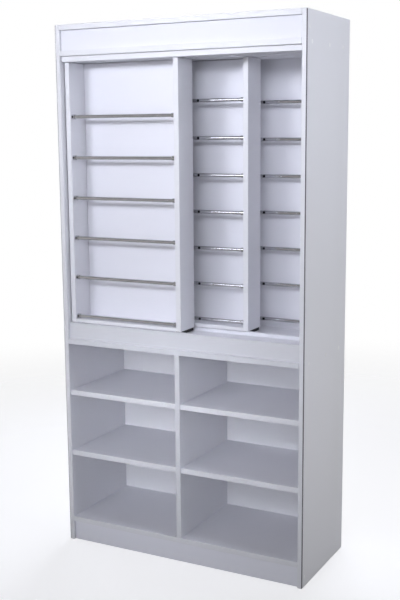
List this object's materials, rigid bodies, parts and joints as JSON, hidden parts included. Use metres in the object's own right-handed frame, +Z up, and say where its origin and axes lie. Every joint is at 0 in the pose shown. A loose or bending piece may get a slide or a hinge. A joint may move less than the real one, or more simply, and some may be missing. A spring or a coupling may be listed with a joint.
{
  "type": "shop display unit",
  "caption": "Tall white board display cabinet: open shelves under a counter, and above it rod trays that slide sideways on rollers in front of a fixed rod rack.",
  "frame": {"origin": "middle of the footprint, on the floor", "axes": "+Z up, -Y out of the open front, +X to the right of someone facing the front"},
  "size_m": [0.9, 0.37, 1.8],
  "materials": {
    "white_board": "white faced board, satin",
    "chrome_rod": "bright chrome plate",
    "black_nylon": "moulded black nylon",
    "black_rubber": "matt black rubber"
  },
  "bodies": {
    "cabinet": {"left_side_panel": "white_board", "right_side_panel": "white_board", "top_panel": "white_board", "fascia_panel": "white_board", "header_shelf": "white_board", "top_guide_board": "white_board", "counter_board": "white_board", "lane_apron": "white_board", "lane_floor": "white_board", "lane_batten": "white_board", "lane_bearer_front": "white_board", "lane_bearer_rear": "white_board", "bottom_board": "white_board", "plinth_board": "white_board", "centre_divider": "white_board", "shelf_left_lower": "white_board", "shelf_left_upper": "white_board", "shelf_right_lower": "white_board", "shelf_right_upper": "white_board", "back_panel": "white_board", "rear_rack_panel": "white_board", "rear_upright_left": "white_board", "rear_upright_right": "white_board", "rear_rod_1": "chrome_rod", "rear_rod_2": "chrome_rod", "rear_rod_3": "chrome_rod", "rear_rod_4": "chrome_rod", "rear_rod_5": "chrome_rod", "rear_rod_6": "chrome_rod", "rear_rod_7": "chrome_rod"},
    "front_tray": {"front_tray_left_board": "white_board", "front_tray_right_board": "white_board", "front_tray_bottom_board": "white_board", "front_tray_back_panel": "white_board", "front_tray_rod_1": "chrome_rod", "front_tray_rod_2": "chrome_rod", "front_tray_rod_3": "chrome_rod", "front_tray_rod_4": "chrome_rod", "front_tray_rod_5": "chrome_rod", "front_tray_rod_6": "chrome_rod", "front_tray_roller_block_left": "black_nylon", "front_tray_roller_block_right": "black_nylon"},
    "middle_tray": {"middle_tray_left_board": "white_board", "middle_tray_right_board": "white_board", "middle_tray_bottom_board": "white_board", "middle_tray_back_panel": "white_board", "middle_tray_rod_1": "chrome_rod", "middle_tray_rod_2": "chrome_rod", "middle_tray_rod_3": "chrome_rod", "middle_tray_rod_4": "chrome_rod", "middle_tray_rod_5": "chrome_rod", "middle_tray_rod_6": "chrome_rod", "middle_tray_rod_7": "chrome_rod", "middle_tray_roller_block_left": "black_nylon", "middle_tray_roller_block_right": "black_nylon"},
    "front_left_roller": {"front_tray_roller_left": "black_rubber"},
    "front_right_roller": {"front_tray_roller_right": "black_rubber"},
    "middle_left_roller": {"middle_tray_roller_left": "black_rubber"},
    "middle_right_roller": {"middle_tray_roller_right": "black_rubber"}
  },
  "joints": [
    {"name": "front_tray_slide", "type": "slide", "parent": "cabinet", "child": "front_tray", "axis": [1, 0, 0], "range_m": [0, 0.422]},
    {"name": "middle_tray_slide", "type": "slide", "parent": "cabinet", "child": "middle_tray", "axis": [1, 0, 0], "range_m": [-0.196, 0.226]},
    {"name": "front_left_roller_spin", "type": "hinge", "parent": "front_tray", "child": "front_left_roller", "pos_m": [-0.4095, -0.1045, 0.7901], "axis": [0, 1, 0], "continuous": true},
    {"name": "front_right_roller_spin", "type": "hinge", "parent": "front_tray", "child": "front_right_roller", "pos_m": [-0.0125, -0.1045, 0.7901], "axis": [0, 1, 0], "continuous": true},
    {"name": "middle_left_roller_spin", "type": "hinge", "parent": "middle_tray", "child": "middle_left_roller", "pos_m": [-0.2135, -0.0015, 0.7901], "axis": [0, 1, 0], "continuous": true},
    {"name": "middle_right_roller_spin", "type": "hinge", "parent": "middle_tray", "child": "middle_right_roller", "pos_m": [0.1835, -0.0015, 0.7901], "axis": [0, 1, 0], "continuous": true}
  ],
  "couplings": [
    {"joint": "front_left_roller_spin", "follows": "front_tray_slide", "rad_per_m": 153.85},
    {"joint": "front_right_roller_spin", "follows": "front_tray_slide", "rad_per_m": 153.85},
    {"joint": "middle_left_roller_spin", "follows": "middle_tray_slide", "rad_per_m": 153.85},
    {"joint": "middle_right_roller_spin", "follows": "middle_tray_slide", "rad_per_m": 153.85}
  ]
}
